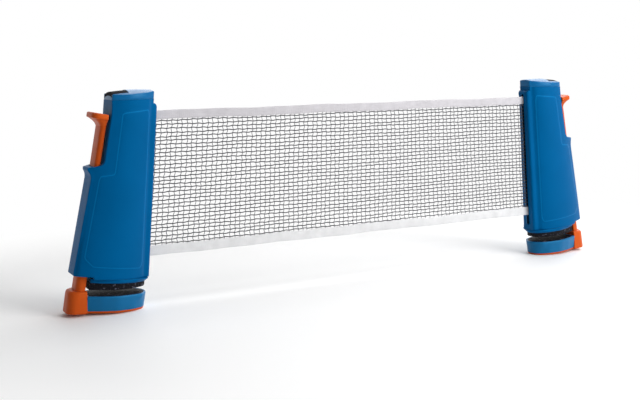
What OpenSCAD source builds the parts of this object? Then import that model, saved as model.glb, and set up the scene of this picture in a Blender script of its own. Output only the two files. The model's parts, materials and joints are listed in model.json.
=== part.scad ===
// Retractable table tennis net on two squeeze clamp posts.
// Millimetres. +X runs along the net from left to right, +Z is up, and the players look along Y.
// Each post is drawn once, outboard towards +X, and the left one is its mirror image.
// A post's own frame starts at its net-side edge on the floor and leans with the post.

/* [Stand] */
// Distance between the net-side edges of the two posts, at the floor
post_gap = 497; // [300:1:900]
// Lean of each post towards the net, in degrees
lean = 5; // [4:0.5:7]
// Tilt of each closed clamp's foot on its net-side edge, in degrees
foot_tilt = 3; // [2:0.5:3.5]

/* [Housing] */
// Height of the housing's underside
base_z = 31.4; // [30:0.1:34]
// Height of the shoulder, where the neck steps in on the net side, above the net's top edge
shoulder_rise = 3.7; // [3:0.1:6]
// Step of the neck behind the shoulder
shoulder_step = 4; // [2:0.5:6]
// Height of the top cap's crest above the shoulder
neck_rise = 16.6; // [15:0.1:18]
// Slope of the top cap's seam down to the outboard side, in degrees
seam_slope = 5.5; // [4:0.5:7]
// Reach of the housing outboard at its underside
base_u = 76; // [75:0.1:77]
// Depth below the crest where the neck's outboard side turns upright
kink_drop = 25.9; // [22:0.1:27]
// Depth of the finger ledge's tip below the crest
ledge_drop = 77.6; // [76:0.1:80]
// Reach of the finger ledge
ledge_u = 66.2; // [66:0.1:67]
// Radius of the scoop under the ledge
scoop_r = 11; // [10:0.5:12]
// Radius between the ledge and the neck
ledge_fillet = 7; // [4:0.5:8]
// Greatest half thickness at the underside
half_base = 22.5; // [21.5:0.1:24]
// Greatest half thickness at the neck's top
half_top = 17.6; // [17.2:0.1:18.6]
// Radius of the bulging faces at the underside
face_r_base = 68; // [67:0.2:72]
// Radius of the bulging faces at the neck's top
face_r_top = 47; // [46:0.1:49]
// Wall thickness
wall = 2.4; // [1.8:0.1:2.6]
// Floor thickness
floor_t = 3; // [2.5:0.1:4]
// Width of the slot that the net comes through
slot_w = 3.2; // [2.4:0.1:4]

/* [Top cap] */
// Thickness of the cap from its crest to its seam
cap_t = 8.6; // [8:0.1:10]
// Crown radius of the cap across the post
crown_r = 36; // [32:1:50]
// Radius of the cap's crest along the row
crest_r = 206; // [180:2:260]
// Where the crest is highest, outboard of the net-side edge
crest_u = 5; // [3:0.5:10]
// Depth of the plug that holds the cap in the neck
plug_h = 3.2; // [2.6:0.1:4]
// Where the dark inlay starts, outboard of the net-side edge
inlay_u = 31; // [28:0.5:36]
// Width of the dark inlay
inlay_w = 26; // [20:0.5:27]
// Depth of the inlay's notch below the crest
inlay_t = 5; // [3:0.1:6]
// How far the inlay lies below the crown and behind the cap's end
inlay_sunk = 1.2; // [0.5:0.1:1.8]

/* [Slider] */
// Tilt of the sliding bar against the post, in degrees
bar_tilt = 6.1; // [5.9:0.05:6.3]
// Where the bar's outboard face would meet the floor
bar_u = 74.8; // [74.4:0.1:75]
// Width of the bar
bar_w = 21.4; // [20:0.2:21.8]
// Thickness of the bar inside the housing
bar_t = 9; // [8:0.2:9.6]
// Thickness of the strap above the lug
strap_t = 5; // [4:0.1:5.6]
// Depth of the slider's top below the crest
slider_drop = 24.6; // [23:0.1:27]
// Travel of the clamp from closed to fully open
travel = 35; // [20:1:35]
// Reach of the thumb flange beyond the bar
flange_out = 10; // [8:0.1:11]
// Width of the thumb flange
flange_w = 29; // [26:0.5:31]
// Thickness of the thumb flange
flange_t = 5.2; // [4:0.1:7]
// Height of the gusset under the flange
gusset_h = 8; // [6:0.5:12]
// Play of the slider in its guides
slide_play = 0.4; // [0.2:0.05:0.5]

/* [Jaws] */
// Height of the lower jaw's rim
rim_z = 17; // [16:0.1:17.5]
// Height of the lower jaw shell
jaw_h = 13; // [12:0.1:14]
// Net-side end of the jaws
jaw_u = 4.3; // [3:0.1:5.5]
// Inboard face of the foot block, where the lower jaw ends
block_u = 61.5; // [60.5:0.1:62]
// Greatest width of the jaws
jaw_w = 42; // [38:0.5:43]
// Width of the lower jaw where it meets the foot block
jaw_root_w = 27; // [25:0.5:30]
// Corner radius at the net-side end of the jaws
jaw_corner = 6; // [5:0.5:9]
// Draft of the lower jaw from its rim to its underside
jaw_draft = 1.6; // [0.5:0.1:2.5]
// How far the jaws' net-side end slants in below the rim
nose_slant = 3.4; // [2:0.1:4.5]
// Width of the lower jaw's rim round its pad
rim_w = 2.2; // [1.6:0.1:3]
// Thickness of the lower pad
lower_pad_t = 5.5; // [4:0.1:7]
// How far the lower pad stands above the rim
pad_proud = 0.3; // [0:0.1:1]
// Gap between the pads when the clamp is closed
pad_gap = 5.6; // [5:0.1:8.6]
// Thickness of the upper jaw plate
lip_t = 4; // [3:0.1:4.8]
// Inset of the upper jaw plate from the jaws' outline
upper_inset = 0.6; // [0.4:0.1:1.5]
// Inset of the upper pad from its plate
upper_pad_in = 1.6; // [1.2:0.1:4]
// Outboard reach of the foot block
foot_u = 80.5; // [79:0.1:81.5]
// Height of the foot block
foot_z = 22; // [20:0.1:23]

/* [Clamp spring] */
// Distance from the bar's outboard face to the spring's axis
spring_in = 16.2; // [16:0.1:16.6]
// Radius of the spring, to the middle of its wire
spring_r = 4.9; // [4.2:0.1:5.2]
// Thickness of the spring wire
wire = 1.2; // [0.8:0.1:1.4]
// Turns of the spring
spring_turns = 10; // [7:1:12]
// Height of the spring's fixed seat along the bar
seat_z = 64; // [60:0.5:66]
// Depth of the slider's lug, which presses on the spring, below the finger ledge
lug_drop = 12.5; // [11:0.1:14]
// Thickness of the seat and of the lug
seat_t = 3.5; // [2.5:0.1:4]
// Radius of the spring's guide rod
rod_r = 2.4; // [1.8:0.1:2.8]

/* [Net] */
// Height of the net band
net_h = 145; // [138:0.5:147]
// Width of the top hem
top_hem_w = 8.8; // [6:0.1:12]
// Width of the bottom hem
bottom_hem_w = 10; // [6:0.1:12]
// Thickness of the hems
hem_t = 1.2; // [0.8:0.1:1.6]
// Thickness of the mesh
mesh_t = 0.8; // [0.5:0.1:1.1]
// Gap between the net and the reel's lower flange
net_clear = 1.4; // [1:0.1:2]
// Thickness of one layer of net on the reel
layer_t = 0.3; // [0.2:0.01:0.32]
// Length of net still on the reel
stored = 1160; // [900:10:1200]

/* [Reel] */
// Distance from the net-side edge to the reel's axis
reel_u = 22; // [21.5:0.1:22.2]
// Outer radius of the reel tube
tube_r = 5; // [4.5:0.1:5.5]
// Wall of the reel tube
tube_wall = 1.2; // [0.8:0.1:1.4]
// Radius of the reel's flanges
flange_r = 13.2; // [12.8:0.1:13.3]
// Radius of the steel axle
axle_r = 1.8; // [1.5:0.1:2]
// Height of the drive spring's cup
cup_h = 10; // [9:0.5:11]
// Turns of the drive spring
drive_turns = 7; // [5:1:8]
// Thickness of the drive spring's band
band_t = 0.35; // [0.2:0.05:0.4]
// Radius of the net's anchor rod in the right post
anchor_r = 2.6; // [2:0.1:3]
// Distance from the net-side edge to the anchor rod
anchor_u = 10; // [9:0.1:12]

/* [Fasteners] */
// Radius of the housing screws' shanks
screw_r = 1.3; // [1:0.1:1.5]
// Radius of the screws' heads
head_r = 2.6; // [2.2:0.1:2.8]
// Height of the screws' heads
head_h = 1.8; // [1.4:0.1:2.2]
// Wall of the bosses round the housing screws
boss_wall = 1.3; // [1:0.1:1.5]
// Depth of the screws' heads behind the split of the housing
head_seat = 8; // [7:0.1:9]
// Depth of the screws' blind holes in the front half
screw_depth = 10; // [8:0.1:11]
// Distance from the net-side edge to the lowest housing screw
screw_low_u = 46.5; // [45:0.1:48]
// Height of the lowest housing screw above the underside
screw_low_z = 13.6; // [12:0.1:18]
// Distance from the net-side edge to the middle housing screw
screw_mid_u = 41.2; // [40.6:0.1:42]
// Height of the middle housing screw above the finger ledge
screw_mid_rise = 8.5; // [6:0.1:12]
// Distance from the net-side edge to the upper housing screw
screw_top_u = 39.8; // [39.6:0.1:40.2]
// Depth of the upper housing screw below the crest
screw_top_drop = 35.6; // [32:0.1:39]

/* [Hidden] */
$fn = 64;
run = 0.05;     // radial clearance of a running fit
near = 0.3;     // clearance of parts that only pass or seat each other
big = 400;      // larger than any part, for cutting tools
eps = 0.01;

half_gap = post_gap / 2;
slide_tilt = lean + bar_tilt;
floor_z = base_z + floor_t;

flange_h = 1.5;  // thickness of the reel's flanges

// Heights: the reel stands on its cup, the net on the reel, and the housing's top follows the net
reel_z0 = floor_z + cup_h + 3;
net_low = reel_z0 + flange_h + net_clear;
net_top = net_low + net_h;
reel_z1 = net_top + flange_h + 0.6;
shoulder_z = net_top + shoulder_rise;
crest_z = shoulder_z + neck_rise;
ledge_z = crest_z - ledge_drop;
slider_top = crest_z - slider_drop;
lug_z = ledge_z - lug_drop;
bar_top = lug_z + seat_t;

// Outlines of the housing in its side view
relief = 2.6;                                     // of the underside round the bar
out_tan = (base_u - hook_u()) / (hook_z() - base_z);
function hook_z() = ledge_z - 11.5;
function hook_u() = ledge_u - 2.7;
function out_u(z) = base_u - (z - base_z) * out_tan;
function bar_out_u(z) = bar_u - z * tan(bar_tilt);
neck_gap = 2.3;                                   // between the strap and the neck
function neck_out_u(z) = bar_out_u(z) - (strap_t + neck_gap) / cos(bar_tilt);
neck_kink_z = crest_z - kink_drop;
neck_u = neck_out_u(neck_kink_z);
ledge_slope = 0.23;
function ledge_line(u) = ledge_z + (ledge_u - u) * ledge_slope;
function seam(u) = crest_z - (u - 2 * shoulder_step) * tan(seam_slope) - cap_t / cos(seam_slope);

// Cone whose side is the housing's front face
bulge_u_base = 40;
bulge_u_top = 30;
cone_top_z = shoulder_z + 6;
cone_d = [bulge_u_top - bulge_u_base,
          (face_r_top - half_top) - (face_r_base - half_base), cone_top_z - base_z];
cone_l = norm(cone_d);
cone_k = (face_r_top - face_r_base) / cone_l;
cone_more = 30;

// Jaws
lower_pad_z = rim_z + pad_proud;
upper_pad_z = lower_pad_z + pad_gap;
jaw_mid_u = (jaw_u + block_u) / 2;
sole_in = jaw_draft + 0.6;
foot_pivot = jaw_u + nose_slant + sole_in;
sole_t = rim_z - jaw_h;
peg_spots = [[12, 7], [44, 13]];
peg_r = 1.8;
screw_reach = 7;

// Reel
roll_r = sqrt(tube_r * tube_r + stored * layer_t / PI);
guide_r = spring_r - wire / 2 - 0.8;

hub_h = 8;
arbor_r = 3.2;
cup_r = 13;
columns = 26;
rows = 9;
thread = 1.6;

// Screws: [distance outboard, height] in the post
screw_spots = [[screw_low_u, base_z + screw_low_z], [screw_mid_u, ledge_z + screw_mid_rise],
               [screw_top_u, crest_z - screw_top_drop]];
jaw_screw_u = [20, 48];

blue = [0.0, 0.36, 0.64];
jaw_blue = [0.1, 0.42, 0.66];
orange = [0.85, 0.3, 0.05];
black = [0.06, 0.06, 0.08];
steel = [0.7, 0.71, 0.73];
cloth = [0.85, 0.85, 0.87];

// ---------- Frames ----------

// Puts a part of the right post in place, or its mirror image in the left one
module on_side(side) {
    mirror([side == "left" ? 1 : 0, 0, 0]) translate([half_gap, 0, 0]) children();
}

module in_post(side) {
    on_side(side) rotate([0, -lean, 0]) children();
}

// The slider's frame: +Z runs up the bar, and X is 0 on the bar's outboard face
module in_slide() {
    translate([bar_u, 0, 0]) rotate([0, -bar_tilt, 0]) children();
}

// The frame of a foot, which stands on the net-side edge of its sole
module in_foot() {
    translate([foot_pivot, 0, 0]) rotate([0, -foot_tilt, 0]) translate([-foot_pivot, 0, 0]) children();
}

module on_foot(side) {
    on_side(side) in_foot() children();
}

// The cap's frame: X runs down along the seam, cap_t above it
module in_top() {
    translate([2 * shoulder_step, 0, crest_z]) rotate([0, seam_slope, 0]) children();
}

// A flat outline of the side view, given its full width across the post
module across(w) {
    rotate([90, 0, 0]) translate([0, 0, -w / 2]) linear_extrude(w) children();
}

// ---------- Housing ----------

// Solid behind the bulging front face, inset by a wall
module face_cone(inset = 0) {
    translate([bulge_u_base, face_r_base - half_base, base_z])
        rotate([0, acos(cone_d[2] / cone_l), atan2(cone_d[1], cone_d[0])])
            translate([0, 0, -cone_more])
                cylinder(h = cone_l + 2 * cone_more, r1 = face_r_base - cone_k * cone_more - inset,
                         r2 = face_r_top + cone_k * cone_more - inset, $fn = 128);
}

function arc(c, r, a0, a1, n) =
    [for (i = [0:n]) let (a = a0 + (a1 - a0) * i / n) c + r * [cos(a), sin(a)]];

// Scoop under the finger ledge, tangent to the outboard face
scoop_a = atan(out_tan);
scoop_c = [hook_u() + scoop_r * cos(scoop_a), hook_z() + scoop_r * sin(scoop_a)];
scoop_end = acos((ledge_u - scoop_c[0]) / scoop_r);

// Fillet from the ledge up to the neck
fillet_q = norm([1, ledge_slope]);
fillet_u = (neck_out_u(0) - tan(bar_tilt) * (ledge_line(0) + ledge_fillet * fillet_q)
            + ledge_fillet / cos(bar_tilt)) / (1 - tan(bar_tilt) * ledge_slope);
fillet_c = [fillet_u, ledge_line(fillet_u) + ledge_fillet * fillet_q];

// Side view of the housing, from its underside to the cap's crest
module side_outline() {
    polygon(concat(
        [[0, base_z], [block_u - 4, base_z], [block_u - 2.5, base_z + relief], [base_u, base_z + relief]],
        arc(scoop_c, scoop_r, 180 + scoop_a, scoop_end, 8),
        [[ledge_u, ledge_z]],
        arc(fillet_c, ledge_fillet, 180 + atan2(1, ledge_slope), 180 + bar_tilt, 8),
        [[neck_u, neck_kink_z], [neck_u, crest_z + 1], [shoulder_step, crest_z + 1]],
        arc([shoulder_step, shoulder_z], shoulder_step, 90, 180, 6)));
}

// Side view of the hollow inside the housing
module hollow_outline() {
    side = wall / cos(atan(out_tan));
    polygon([[wall, floor_z], [block_u - 6, floor_z], [block_u - 4, floor_z + relief - 1],
             [out_u(floor_z) - side, floor_z + relief - 1], [hook_u() - side, hook_z()],
             [hook_u() - side, ledge_z - wall], [wall, ledge_z - wall]]);
    polygon([[wall, ledge_z - 20], [neck_out_u(ledge_z - 20) - wall, ledge_z - 20],
             [neck_u - wall, neck_kink_z], [neck_u - wall, crest_z],
             [shoulder_step + wall, crest_z], [shoulder_step + wall, shoulder_z],
             [wall, shoulder_z - shoulder_step]]);
}

// Everything below the cap's seam
module below_seam() {
    in_top() translate([-big / 2, -big / 2, -cap_t - big]) cube([big, big, big]);
}

// Room for the slider: its bar along the outboard wall, and its strap through the ledge
module slider_way() {
    w = bar_w + 2 * slide_play;
    in_slide() {
        translate([-bar_t - slide_play, -w / 2, base_z - 10])
            cube([bar_t + 2 * slide_play, w, bar_top + 11 - base_z]);
        translate([-strap_t - slide_play, -w / 2, bar_top])
            cube([strap_t + 2 * slide_play, w, big]);
    }
}

// Ribs that keep the bar against the outboard wall, and the fixed seat of the clamp spring
module shell_ribs() {
    intersection() {
        in_slide() {
            for (s = [-1, 1])
                translate([-bar_t - slide_play - 2, s > 0 ? bar_w / 2 - 4 : -bar_w / 2 - 8, floor_z - 3])
                    cube([2, 12, lug_z - floor_z - 5]);
            translate([-spring_in - 8, -big / 2, seat_z - seat_t])
                cube([spring_in + 8 - bar_t - slide_play, big, seat_t]);
        }
        face_cone(wall / 2);
        across(2 * big) hollow_outline();
    }
}

// One half of the housing, in front of the net. heads says that the screws' heads sit in it.
module half_shell(heads, pin_u, pin_r) {
    difference() {
        union() {
            difference() {
                intersection() {
                    across(2 * big) side_outline();
                    face_cone();
                }
                intersection() {
                    across(2 * big) hollow_outline();
                    face_cone(wall);
                }
            }
            shell_ribs();
            for (p = screw_spots) intersection() {
                translate([p[0], 0, p[1]]) rotate([90, 0, 0])
                    cylinder(h = 30, r = boss_wall + (heads ? head_r + near : screw_r));
                face_cone(wall / 2);
            }
        }
        slider_way();
        // Net slot, through the net-side wall
        translate([-1, -slot_w / 2, floor_z + 2])
            cube([wall + 2, slot_w, shoulder_z - floor_z - 2]);
        // Seat of the reel's axle or of the net's anchor
        translate([pin_u, 0, base_z + 1]) cylinder(h = floor_t, r = pin_r + eps);
        for (p = peg_spots) translate([p[0], -p[1], base_z - 1])
            cylinder(h = floor_t + 2, r = peg_r + eps);
        // Seat of the spring's guide rod
        in_slide() translate([-spring_in, 0, seat_z - seat_t - 1])
            cylinder(h = seat_t + 2, r = rod_r + eps);
        for (p = screw_spots) translate([p[0], 0, p[1]]) rotate([90, 0, 0]) {
            translate([0, 0, -1])
                cylinder(h = heads ? big : screw_depth + 1, r = screw_r + (heads ? near : 0));
            if (heads) translate([0, 0, head_seat]) cylinder(h = big, r = head_r + near);
        }
        difference() {
            translate([-big / 2, -big / 2, -big / 2]) cube([big, big, 2 * big]);
            below_seam();
        }
        translate([-big / 2, 0, -big / 2]) cube([big, big, 2 * big]);
    }
}

module shell(side, back) {
    pin_u = side == "left" ? reel_u : anchor_u;
    pin_r = side == "left" ? axle_r : anchor_r;
    color(blue) in_post(side) mirror([0, back ? 1 : 0, 0]) half_shell(back, pin_u, pin_r);
}

module shell_screws(side) {
    color(steel) in_post(side) for (p = screw_spots) translate([p[0], 0, p[1]]) rotate([-90, 0, 0]) {
        difference() {
            translate([0, 0, head_seat]) cylinder(h = head_h, r = head_r);
            translate([0, 0, head_seat + head_h / 2]) {
                cube([2 * head_r * 0.7, 0.8, head_h], center = true);
                cube([0.8, 2 * head_r * 0.7, head_h], center = true);
            }
        }
        translate([0, 0, -screw_depth + 1]) cylinder(h = head_seat + screw_depth - 1, r = screw_r);
    }
}

// ---------- Top cap ----------

module both_faces(inset = 0) {
    intersection() {
        face_cone(inset);
        mirror([0, 1, 0]) face_cone(inset);
    }
}

// Notch of the inlay, open to the cap's outboard end
module inlay_form(play = 0) {
    intersection() {
        in_top() translate([-big / 2, -inlay_w / 2 + play, -inlay_t]) cube([big, inlay_w - 2 * play, big]);
        translate([inlay_u + play, -big / 2, 0]) cube([big, big, big]);
    }
}

// Solid under the cap's crown, which is rounded across the post and along the row
module crown(drop = 0) {
    translate([crest_u, 0, crest_z - crest_r]) rotate([90, 0, 0])
        rotate_extrude($fn = 256) translate([crest_r - crown_r - drop, 0]) circle(r = crown_r, $fn = 128);
}

module top_cap(side) {
    pin_u = side == "left" ? reel_u : anchor_u;
    pin_r = side == "left" ? axle_r : anchor_r;
    color(blue) in_post(side) difference() {
        union() {
            intersection() {
                across(2 * big) side_outline();
                both_faces();
                crown();
                in_top() translate([-big / 2, -big / 2, -cap_t]) cube([big, big, big]);
            }
            intersection() {
                across(2 * big) hollow_outline();
                both_faces(wall + run);
                in_top() translate([-big / 2, -big / 2, -cap_t - plug_h]) cube([big, big, plug_h + 1]);
                translate([-big / 2, -big / 2, reel_z1 + near]) cube([big, big, big]);
                in_slide() translate([-bar_t - slide_play - big, -big / 2, 0]) cube([big, big, big]);
            }
        }
        inlay_form();
        translate([pin_u, 0, 0]) cylinder(h = pin_top(pin_u) + eps, r = pin_r + eps);
    }
}

function pin_top(u) = seam(u) - 0.5;

module cap_inlay(side) {
    color(black) in_post(side) intersection() {
        inlay_form(run);
        crown(inlay_sunk);
        translate([0, -big / 2, 0]) cube([neck_u - inlay_sunk, big, big]);
    }
}

// ---------- Slider ----------

module rounded_plate(x0, x1, w, h, r) {
    translate([x0, -w / 2, 0]) cube([x1 - x0 - r, w, h]);
    translate([x0, -w / 2 + r, 0]) cube([x1 - x0, w - 2 * r, h]);
    for (s = [-1, 1]) translate([x1 - r, s * (w / 2 - r), 0]) cylinder(h = h, r = r);
}

// The jaws seen from above: a blunt, rounded net-side end, a bulge, and the root at the foot block
module jaw_plan(inset = 0, nose = 0) {
    end_v = jaw_w / 2 - jaw_corner - 4.5;
    hull() {
        for (s = [-1, 1]) translate([jaw_u + jaw_corner + nose, s * end_v])
            circle(r = jaw_corner - inset, $fn = 32);
        translate([jaw_mid_u, 0]) circle(r = jaw_w / 2 - inset, $fn = 48);
        translate([block_u - 10, -jaw_root_w / 2 + inset]) square([10, jaw_root_w - 2 * inset]);
    }
}

module slider(side) {
    bar_low = foot_z - 9;  // well inside the foot block
    color(orange) on_side(side) difference() {
        union() {
            rotate([0, -lean, 0]) in_slide() {
                translate([-bar_t, -bar_w / 2, bar_low]) cube([bar_t, bar_w, bar_top - bar_low]);
                translate([-strap_t, -bar_w / 2, bar_top - 1])
                    cube([strap_t, bar_w, slider_top - bar_top]);
                thumb_flange();
                // Lug on the clamp spring
                translate([-spring_in - 6.5, -6.5, lug_z]) cube([spring_in + 5.5, 13, seat_t]);
            }
            in_foot() {
                foot_block();
                // Sole plate under the lower jaw
                linear_extrude(sole_t) jaw_plan(sole_in, nose_slant);
                translate([block_u - 2, -9, 0]) cube([4, 18, sole_t]);
            }
        }
        rotate([0, -lean, 0]) in_slide() translate([-spring_in, 0, lug_z - 1])
            cylinder(h = seat_t + 2, r = rod_r + near);
        in_foot() for (u = jaw_screw_u) translate([u, 0, -1]) {
            cylinder(h = 20, r = screw_r + near);
            cylinder(h = 1 + head_h, r = head_r + near);
        }
    }
}

// The flange that the thumb pushes down, with its rounded corners and its gusset
module thumb_flange() {
    z0 = slider_top - flange_t;
    translate([0, 0, z0]) rounded_plate(-strap_t, flange_out, flange_w, flange_t, 6.5);
    intersection() {
        across(bar_w) polygon([[-strap_t, z0 - gusset_h], [0, z0 - gusset_h],
                               [flange_out - 2, z0 + eps], [-strap_t, z0 + eps]]);
        translate([0, 0, z0 - gusset_h])
            rounded_plate(-strap_t, flange_out - 1.5, bar_w, gusset_h + 1, 6);
    }
}

// The block that carries the lower jaw at the foot of the bar, drafted on all its outer sides
module foot_block() {
    w = jaw_root_w / 2;
    intersection() {
        rounded_plate(block_u, foot_u, 2 * w, foot_z, 5.5);
        across(big) polygon([[block_u - 1, 0], [foot_u, 0], [foot_u - 2.4, foot_z - 1.5],
                             [foot_u - 3.8, foot_z], [block_u - 1, foot_z]]);
        rotate([90, 0, 90]) linear_extrude(big)
            polygon([[-w, 0], [w, 0], [w - 0.8, foot_z - 1.5], [w - 2, foot_z], [2 - w, foot_z],
                     [0.8 - w, foot_z - 1.5]]);
    }
}

// ---------- Jaws ----------

module upper_plan(inset) {
    intersection() {
        jaw_plan(inset, 2);
        translate([-big / 2, -big / 2]) square([big / 2 + block_u - 2.6 - inset / 2, big]);
    }
}

module upper_jaw(side) {
    color(blue) in_post(side) {
        translate([0, 0, base_z - lip_t]) linear_extrude(lip_t) upper_plan(upper_inset);
        for (p = peg_spots, s = [-1, 1]) translate([p[0], s * p[1], base_z - 1])
            cylinder(h = floor_t + 1 - near, r = peg_r);
    }
}

module upper_jaw_pad(side) {
    color(black) on_side(side) difference() {
        rotate([0, -lean, 0]) translate([0, 0, base_z - lip_t - 16])
            linear_extrude(16) upper_plan(upper_inset + upper_pad_in);
        in_foot() translate([-big / 2, -big / 2, upper_pad_z - big]) cube([big, big, big]);
    }
}

module lower_jaw(side) {
    color(jaw_blue) on_foot(side) difference() {
        hull() {
            translate([0, 0, rim_z - 5]) linear_extrude(5) jaw_plan();
            translate([0, 0, sole_t]) linear_extrude(1) jaw_plan(jaw_draft, nose_slant);
        }
        translate([0, 0, rim_z - (lower_pad_t - pad_proud)]) linear_extrude(10) jaw_pan();
        for (u = jaw_screw_u) translate([u, 0, sole_t - 1])
            cylinder(h = screw_reach + 1, r = screw_r + eps);
    }
}

// Recess of the lower pad, inside the rim
module jaw_pan(inset = 0) {
    intersection() {
        jaw_plan(rim_w + inset);
        translate([-big / 2, -big / 2]) square([big / 2 + block_u - rim_w - inset, big]);
    }
}

module lower_jaw_pad(side) {
    color(black) on_foot(side) translate([0, 0, lower_pad_z - lower_pad_t]) {
        linear_extrude(lower_pad_t - 1) jaw_pan(near);
        linear_extrude(lower_pad_t) jaw_pan(near + 1);
    }
}

module jaw_screws(side) {
    color(steel) on_foot(side) for (u = jaw_screw_u) translate([u, 0, 0]) {
        difference() {
            translate([0, 0, 0.1]) cylinder(h = head_h - 0.1, r = head_r);
            cube([2 * head_r * 0.7, 0.8, head_h], center = true);
            cube([0.8, 2 * head_r * 0.7, head_h], center = true);
        }
        translate([0, 0, head_h - eps]) cylinder(h = sole_t + screw_reach - head_h - 0.5, r = screw_r);
    }
}

// ---------- Clamp spring ----------

// An open coil about Z. Both its ends stop short of their seats by half the wire.
module coil(r, wire_r, turns, h) {
    per = 12;
    n = turns * per;
    points = [for (i = [0:n]) let (a = 360 * i / per)
              [r * cos(a), r * sin(a), wire_r + (h - 2 * wire_r) * i / n]];
    rise = atan2((h - 2 * wire_r) / turns, 2 * PI * r);
    ring = [for (i = [0:n], k = [0:5]) let (a = 360 * i / per, b = 60 * k,
            out = wire_r * cos(b), up = wire_r * sin(b))
            points[i] + out * [cos(a), sin(a), 0]
            + up * [sin(a) * sin(rise), -cos(a) * sin(rise), cos(rise)]];
    sides = [for (i = [0:n - 1], k = [0:5]) let (p = 6 * i + k, q = 6 * i + (k + 1) % 6)
             each [[p, q + 6, q], [p, p + 6, q + 6]]];
    ends = [for (k = [1:4]) each [[0, k, k + 1], [6 * n, 6 * n + k + 1, 6 * n + k]]];
    polyhedron(points = ring, faces = concat(sides, ends));
}

module clamp_spring(side) {
    color(steel) in_post(side) in_slide() translate([-spring_in, 0, seat_z + near / 2])
        coil(spring_r, wire / 2, spring_turns, lug_z - seat_z - near);
}

module spring_rod(side) {
    color(steel) in_post(side) in_slide() translate([-spring_in, 0, seat_z - seat_t])
        cylinder(h = lug_z - seat_z + 2 * seat_t + 3, r = rod_r);
}

// ---------- Reel, in the left post ----------

module on_reel() {
    in_post("left") translate([reel_u, 0, 0]) children();
}

module reel_axle() {
    color(steel) on_reel() translate([0, 0, base_z + 1 + eps])
        cylinder(h = pin_top(reel_u) - base_z - 1 - 2 * eps, r = axle_r);
}

module reel_tube() {
    color(black) on_reel() difference() {
        translate([0, 0, reel_z0 + flange_h])
            cylinder(h = reel_z1 - reel_z0 - 2 * flange_h, r = tube_r);
        cylinder(h = big, r = tube_r - tube_wall);
    }
}

// Flange, and the hub that plugs into the tube and runs on the axle
module reel_hub() {
    difference() {
        union() {
            cylinder(h = flange_h, r = flange_r);
            cylinder(h = flange_h + hub_h, r = tube_r - tube_wall - eps);
        }
        translate([0, 0, -1]) cylinder(h = big, r = axle_r + run);
    }
}

module reel_lower_hub() {
    color(black) on_reel() translate([0, 0, reel_z0]) difference() {
        union() {
            reel_hub();
            // Arbor of the drive spring
            translate([0, 0, -cup_h + 0.6]) cylinder(h = cup_h, r = arbor_r);
        }
        translate([0, 0, -cup_h]) cylinder(h = cup_h + 1, r = axle_r + run);
    }
}

module reel_upper_hub() {
    color(black) on_reel() translate([0, 0, reel_z1]) mirror([0, 0, 1]) reel_hub();
}

module drive_spring_cup() {
    color(black) on_reel() difference() {
        translate([0, 0, floor_z]) cylinder(h = cup_h + 2, r = cup_r);
        translate([0, 0, floor_z + 1.4]) cylinder(h = cup_h + 2, r = cup_r - 1.2);
        translate([0, 0, floor_z - 1]) cylinder(h = 5, r = axle_r + near);
    }
}

// Flat spiral band between the arbor and the cup
module drive_spring() {
    r0 = arbor_r + 0.05;
    r1 = cup_r - 1.25 - band_t;
    n = drive_turns * 20;
    line = [for (i = [0:n]) let (r = r0 + (r1 - r0) * i / n, a = 360 * drive_turns * i / n)
            [r * cos(a), r * sin(a)]];
    back = [for (i = [n:-1:0]) let (r = r0 + band_t + (r1 - r0) * i / n, a = 360 * drive_turns * i / n)
            [r * cos(a), r * sin(a)]];
    color(steel) on_reel() translate([0, 0, floor_z + 2.4])
        linear_extrude(cup_h - 2) polygon(concat(line, back));
}

module wound_net() {
    color(cloth) on_reel() translate([0, 0, net_low]) difference() {
        cylinder(h = net_h, r = roll_r);
        translate([0, 0, -1]) cylinder(h = net_h + 2, r = tube_r);
    }
}

// ---------- Net ----------

// The net hangs in a plane between the two posts. Its ends follow their lean.
function lean_x(z) = -half_gap + z * tan(lean);
net_z0 = net_low * cos(lean);
net_z1 = net_top * cos(lean);

// Reach of the net into the left post, to its roll, and into the right one, to its sleeve
in_left = (reel_u - roll_r - 2 * near) / cos(lean);
in_right = 4;

// Outline of a level strip of the net, from post to post
module strip(z0, z1) {
    polygon([[lean_x(z0) - in_left, z0], [-lean_x(z0) + in_right, z0],
             [-lean_x(z1) + in_right, z1], [lean_x(z1) - in_left, z1]]);
}

module net_sheet(t) {
    rotate([90, 0, 0]) translate([0, 0, -t / 2]) linear_extrude(t) children();
}

// The mesh, drawn with fewer and wider threads than the real net has
module net_mesh() {
    z0 = net_z0 + bottom_hem_w;
    z1 = net_z1 - top_hem_w;
    x1 = -lean_x(z1) - 3;
    dx = (2 * x1 - thread) / columns;
    dz = (z1 - z0 - thread) / rows;
    color(cloth) net_sheet(mesh_t) difference() {
        strip(z0, z1);
        for (i = [0:columns - 1], k = [0:rows - 1])
            translate([-x1 + thread + i * dx, z0 + thread + k * dz]) square([dx - thread, dz - thread]);
    }
}

module net_top_hem() {
    color(cloth) net_sheet(hem_t) strip(net_z1 - top_hem_w, net_z1);
}

module net_bottom_hem() {
    color(cloth) net_sheet(hem_t) strip(net_z0, net_z0 + bottom_hem_w);
}

// ---------- The net's end, in the right post ----------

module net_anchor_rod() {
    color(steel) in_post("right") translate([anchor_u, 0, base_z + 1 + eps])
        cylinder(h = pin_top(anchor_u) - base_z - 1 - 2 * eps, r = anchor_r);
}

module net_end_sleeve() {
    color(cloth) in_post("right") difference() {
        union() {
            translate([anchor_u, 0, net_low]) cylinder(h = net_h, r = anchor_r + 1.2);
            translate([in_right + near, -mesh_t, net_low]) cube([anchor_u - in_right - near, 2 * mesh_t, net_h]);
        }
        translate([anchor_u, 0, 0]) cylinder(h = big, r = anchor_r + run);
    }
}

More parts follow.
